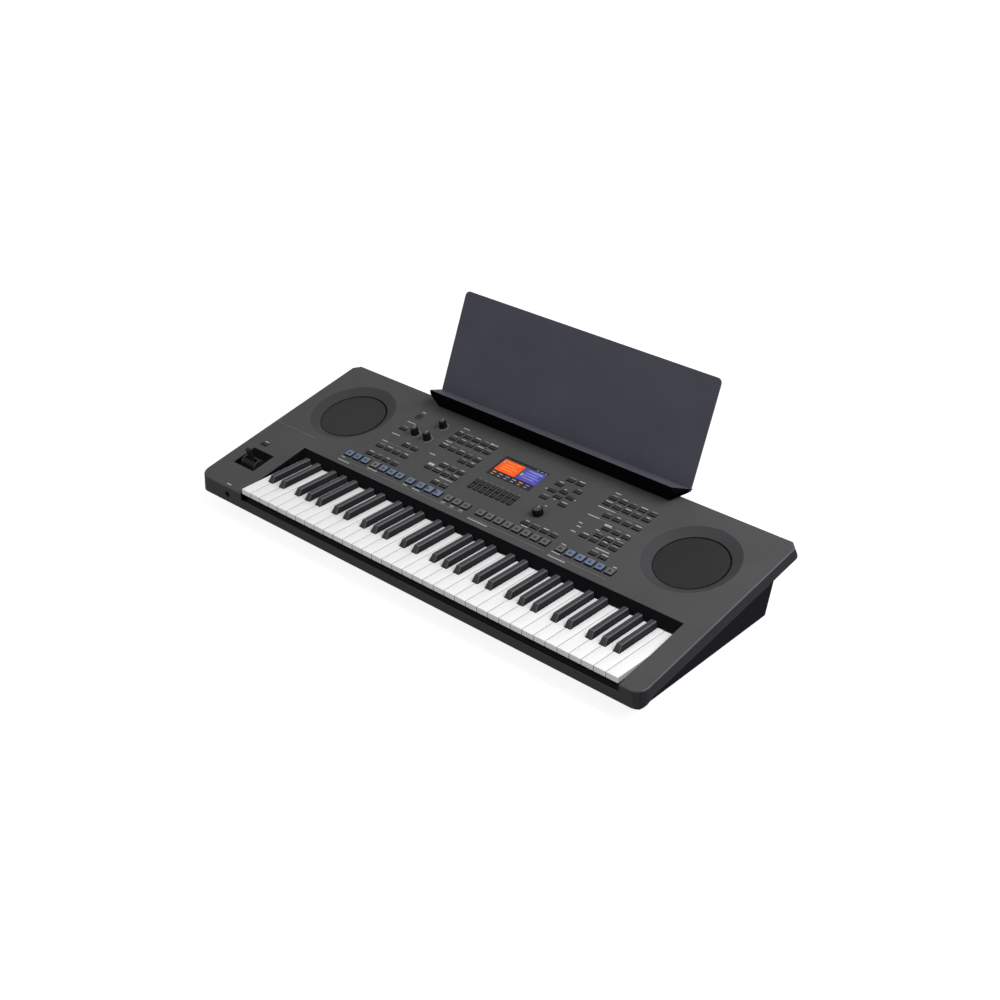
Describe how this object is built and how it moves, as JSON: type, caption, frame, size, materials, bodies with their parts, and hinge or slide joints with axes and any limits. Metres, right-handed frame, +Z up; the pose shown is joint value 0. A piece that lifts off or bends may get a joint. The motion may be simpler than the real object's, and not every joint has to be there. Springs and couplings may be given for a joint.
{
  "type": "arranger keyboard",
  "caption": "Portable electronic keyboard: sloping dark panel with buttons, pads, knobs and colour display, round speakers at both ends, rocking piano keys, joystick and lift-off music rest",
  "frame": {"origin": "on the floor under the middle of the case, at the middle rubber foot", "axes": "+X to the player's right along the keys, +Y away from the player, +Z up"},
  "size_m": [1.004, 0.4727, 0.319],
  "materials": {
    "case_top": "fine-textured warm dark grey moulding",
    "case_bottom": "textured black moulding",
    "grille_mesh": "perforated sheet, satin black",
    "steel_parts": "pressed steel",
    "paper_cone": "pressed paper",
    "display_lens": "clear cover over a colour picture",
    "display_body": "moulded frame",
    "circuit_board": "lacquered board",
    "switch_rubber": "silicone mat",
    "frame_plastic": "moulded frame",
    "felt": "pressed felt",
    "black_plastic": "satin black",
    "socket_plastic": "moulded black",
    "socket_metal": "bright sheet metal",
    "foot_rubber": "soft black rubber",
    "screw_steel": "blackened steel",
    "rest_plastic": "satin bluish grey sheet",
    "white_keys": "polished white moulding",
    "black_keys": "satin black moulding",
    "pad_rubber": "translucent silicone",
    "button_plastic": "dark silicone",
    "knob_plastic": "ribbed black with a grey cap"
  },
  "bodies": {
    "case": {"upper_case": "case_top", "lower_case": "case_bottom", "back_strip": "case_bottom", "speaker_grille_left": "grille_mesh", "speaker_grille_right": "grille_mesh", "speaker_baskets": "steel_parts", "speaker_cones": "paper_cone", "display_window": "display_lens", "display_module": "display_body", "panel_boards": "circuit_board", "switch_mats": "switch_rubber", "main_board": "circuit_board", "key_frame": "frame_plastic", "key_stop_felt": "felt", "key_contact_board": "circuit_board", "key_contact_strip": "switch_rubber", "joystick_tray": "case_bottom", "phones_socket": "socket_plastic", "jack_plate": "case_bottom", "rear_jacks": "socket_plastic", "power_inlet": "socket_plastic", "usb_socket": "socket_metal", "rubber_feet": "foot_rubber", "case_screws": "screw_steel"},
    "c_key_set": {"keys_c": "white_keys"},
    "c_sharp_key_set": {"keys_c_sharp": "black_keys"},
    "d_key_set": {"keys_d": "white_keys"},
    "d_sharp_key_set": {"keys_d_sharp": "black_keys"},
    "e_key_set": {"keys_e": "white_keys"},
    "f_key_set": {"keys_f": "white_keys"},
    "f_sharp_key_set": {"keys_f_sharp": "black_keys"},
    "g_key_set": {"keys_g": "white_keys"},
    "g_sharp_key_set": {"keys_g_sharp": "black_keys"},
    "a_key_set": {"keys_a": "white_keys"},
    "a_sharp_key_set": {"keys_a_sharp": "black_keys"},
    "b_key_set": {"keys_b": "white_keys"},
    "start_pads": {"start_pads": "pad_rubber"},
    "accent_pads": {"accent_pads": "pad_rubber"},
    "fill_pads": {"fill_pads": "pad_rubber"},
    "loop_pads": {"loop_pads": "pad_rubber"},
    "memory_pads": {"memory_pads": "pad_rubber"},
    "voice_pads": {"voice_pads": "pad_rubber"},
    "song_buttons": {"song_buttons": "button_plastic"},
    "assign_button": {"assign_button": "button_plastic"},
    "style_buttons": {"style_buttons": "button_plastic"},
    "tempo_buttons": {"tempo_buttons": "button_plastic"},
    "soft_keys": {"soft_keys": "button_plastic"},
    "arrow_buttons": {"arrow_buttons": "button_plastic"},
    "voice_buttons": {"voice_buttons": "button_plastic"},
    "part_buttons": {"part_buttons": "button_plastic"},
    "hold_button": {"hold_button": "button_plastic"},
    "standby_button": {"standby_button": "button_plastic"},
    "control_knob_left": {"control_knob_left": "knob_plastic"},
    "control_knob_right": {"control_knob_right": "knob_plastic"},
    "volume_knob": {"volume_knob": "knob_plastic"},
    "data_dial": {"data_dial": "knob_plastic"},
    "joystick_drum": {"joystick_drum": "black_plastic"},
    "joystick_lever": {"joystick_lever": "black_plastic"},
    "music_rest": {"music_rest_board": "rest_plastic", "music_rest_ledge": "rest_plastic"}
  },
  "joints": [
    {"name": "c_keys_rock", "type": "hinge", "parent": "case", "child": "c_key_set", "pos_m": [0, 0.0022, 0.0624], "axis": [1, 0, 0], "range_deg": [0, 3], "stiffness_Nm_per_rad": 2, "springref_deg": -20.05},
    {"name": "c_sharp_keys_rock", "type": "hinge", "parent": "case", "child": "c_sharp_key_set", "pos_m": [0, 0.0022, 0.0624], "axis": [1, 0, 0], "range_deg": [0, 3], "stiffness_Nm_per_rad": 2, "springref_deg": -20.05},
    {"name": "d_keys_rock", "type": "hinge", "parent": "case", "child": "d_key_set", "pos_m": [0, 0.0022, 0.0624], "axis": [1, 0, 0], "range_deg": [0, 3], "stiffness_Nm_per_rad": 2, "springref_deg": -20.05},
    {"name": "d_sharp_keys_rock", "type": "hinge", "parent": "case", "child": "d_sharp_key_set", "pos_m": [0, 0.0022, 0.0624], "axis": [1, 0, 0], "range_deg": [0, 3], "stiffness_Nm_per_rad": 2, "springref_deg": -20.05},
    {"name": "e_keys_rock", "type": "hinge", "parent": "case", "child": "e_key_set", "pos_m": [0, 0.0022, 0.0624], "axis": [1, 0, 0], "range_deg": [0, 3], "stiffness_Nm_per_rad": 2, "springref_deg": -20.05},
    {"name": "f_keys_rock", "type": "hinge", "parent": "case", "child": "f_key_set", "pos_m": [0, 0.0022, 0.0624], "axis": [1, 0, 0], "range_deg": [0, 3], "stiffness_Nm_per_rad": 2, "springref_deg": -20.05},
    {"name": "f_sharp_keys_rock", "type": "hinge", "parent": "case", "child": "f_sharp_key_set", "pos_m": [0, 0.0022, 0.0624], "axis": [1, 0, 0], "range_deg": [0, 3], "stiffness_Nm_per_rad": 2, "springref_deg": -20.05},
    {"name": "g_keys_rock", "type": "hinge", "parent": "case", "child": "g_key_set", "pos_m": [0, 0.0022, 0.0624], "axis": [1, 0, 0], "range_deg": [0, 3], "stiffness_Nm_per_rad": 2, "springref_deg": -20.05},
    {"name": "g_sharp_keys_rock", "type": "hinge", "parent": "case", "child": "g_sharp_key_set", "pos_m": [0, 0.0022, 0.0624], "axis": [1, 0, 0], "range_deg": [0, 3], "stiffness_Nm_per_rad": 2, "springref_deg": -20.05},
    {"name": "a_keys_rock", "type": "hinge", "parent": "case", "child": "a_key_set", "pos_m": [0, 0.0022, 0.0624], "axis": [1, 0, 0], "range_deg": [0, 3], "stiffness_Nm_per_rad": 2, "springref_deg": -20.05},
    {"name": "a_sharp_keys_rock", "type": "hinge", "parent": "case", "child": "a_sharp_key_set", "pos_m": [0, 0.0022, 0.0624], "axis": [1, 0, 0], "range_deg": [0, 3], "stiffness_Nm_per_rad": 2, "springref_deg": -20.05},
    {"name": "b_keys_rock", "type": "hinge", "parent": "case", "child": "b_key_set", "pos_m": [0, 0.0022, 0.0624], "axis": [1, 0, 0], "range_deg": [0, 3], "stiffness_Nm_per_rad": 2, "springref_deg": -20.05},
    {"name": "start_pads_press", "type": "slide", "parent": "case", "child": "start_pads", "axis": [0, 0.1831, -0.9831], "range_m": [0, 0.0012], "stiffness_N_per_m": 300, "springref_m": -0.002},
    {"name": "accent_pads_press", "type": "slide", "parent": "case", "child": "accent_pads", "axis": [0, 0.1831, -0.9831], "range_m": [0, 0.0012], "stiffness_N_per_m": 300, "springref_m": -0.002},
    {"name": "fill_pads_press", "type": "slide", "parent": "case", "child": "fill_pads", "axis": [0, 0.1831, -0.9831], "range_m": [0, 0.0012], "stiffness_N_per_m": 300, "springref_m": -0.002},
    {"name": "loop_pads_press", "type": "slide", "parent": "case", "child": "loop_pads", "axis": [0, 0.1831, -0.9831], "range_m": [0, 0.0012], "stiffness_N_per_m": 300, "springref_m": -0.002},
    {"name": "memory_pads_press", "type": "slide", "parent": "case", "child": "memory_pads", "axis": [0, 0.1831, -0.9831], "range_m": [0, 0.0012], "stiffness_N_per_m": 300, "springref_m": -0.002},
    {"name": "voice_pads_press", "type": "slide", "parent": "case", "child": "voice_pads", "axis": [0, 0.1831, -0.9831], "range_m": [0, 0.0012], "stiffness_N_per_m": 300, "springref_m": -0.002},
    {"name": "song_buttons_press", "type": "slide", "parent": "case", "child": "song_buttons", "axis": [0, 0.1831, -0.9831], "range_m": [0, 0.0012], "stiffness_N_per_m": 300, "springref_m": -0.002},
    {"name": "assign_button_press", "type": "slide", "parent": "case", "child": "assign_button", "axis": [0, 0.1831, -0.9831], "range_m": [0, 0.0012], "stiffness_N_per_m": 300, "springref_m": -0.002},
    {"name": "style_buttons_press", "type": "slide", "parent": "case", "child": "style_buttons", "axis": [0, 0.1831, -0.9831], "range_m": [0, 0.0012], "stiffness_N_per_m": 300, "springref_m": -0.002},
    {"name": "tempo_buttons_press", "type": "slide", "parent": "case", "child": "tempo_buttons", "axis": [0, 0.1831, -0.9831], "range_m": [0, 0.0012], "stiffness_N_per_m": 300, "springref_m": -0.002},
    {"name": "soft_keys_press", "type": "slide", "parent": "case", "child": "soft_keys", "axis": [0, 0.1831, -0.9831], "range_m": [0, 0.0012], "stiffness_N_per_m": 300, "springref_m": -0.002},
    {"name": "arrow_buttons_press", "type": "slide", "parent": "case", "child": "arrow_buttons", "axis": [0, 0.1831, -0.9831], "range_m": [0, 0.0012], "stiffness_N_per_m": 300, "springref_m": -0.002},
    {"name": "voice_buttons_press", "type": "slide", "parent": "case", "child": "voice_buttons", "axis": [0, 0.1831, -0.9831], "range_m": [0, 0.0012], "stiffness_N_per_m": 300, "springref_m": -0.002},
    {"name": "part_buttons_press", "type": "slide", "parent": "case", "child": "part_buttons", "axis": [0, 0.1831, -0.9831], "range_m": [0, 0.0012], "stiffness_N_per_m": 300, "springref_m": -0.002},
    {"name": "hold_button_press", "type": "slide", "parent": "case", "child": "hold_button", "axis": [0, 0.1831, -0.9831], "range_m": [0, 0.0012], "stiffness_N_per_m": 300, "springref_m": -0.002},
    {"name": "standby_button_press", "type": "slide", "parent": "case", "child": "standby_button", "axis": [0, 0.1831, -0.9831], "range_m": [0, 0.0012], "stiffness_N_per_m": 300, "springref_m": -0.002},
    {"name": "control_knob_left_turn", "type": "hinge", "parent": "case", "child": "control_knob_left", "pos_m": [-0.24, 0.09061, 0.11701], "axis": [0, -0.1831, 0.9831], "range_deg": [-150, 150]},
    {"name": "control_knob_right_turn", "type": "hinge", "parent": "case", "child": "control_knob_right", "pos_m": [-0.21, 0.09061, 0.11701], "axis": [0, -0.1831, 0.9831], "range_deg": [-150, 150]},
    {"name": "volume_knob_turn", "type": "hinge", "parent": "case", "child": "volume_knob", "pos_m": [-0.21, 0.1314, 0.1246], "axis": [0, -0.1831, 0.9831], "range_deg": [-150, 150]},
    {"name": "data_dial_turn", "type": "hinge", "parent": "case", "child": "data_dial", "pos_m": [0.101, 0.03604, 0.10684], "axis": [0, -0.1831, 0.9831], "continuous": true},
    {"name": "joystick_to_and_fro", "type": "hinge", "parent": "case", "child": "joystick_drum", "pos_m": [-0.4434, -0.11665, 0.06925], "axis": [1, 0, 0], "range_deg": [-18, 18], "stiffness_Nm_per_rad": 0.2},
    {"name": "joystick_sideways", "type": "hinge", "parent": "joystick_drum", "child": "joystick_lever", "pos_m": [-0.4434, -0.11665, 0.06925], "axis": [0, 0.9831, 0.1831], "range_deg": [-18, 18], "stiffness_Nm_per_rad": 0.1},
    {"name": "music_rest_lift", "type": "slide", "parent": "case", "child": "music_rest", "axis": [0, -0.1831, 0.9831], "range_m": [0, 0.04]}
  ]
}
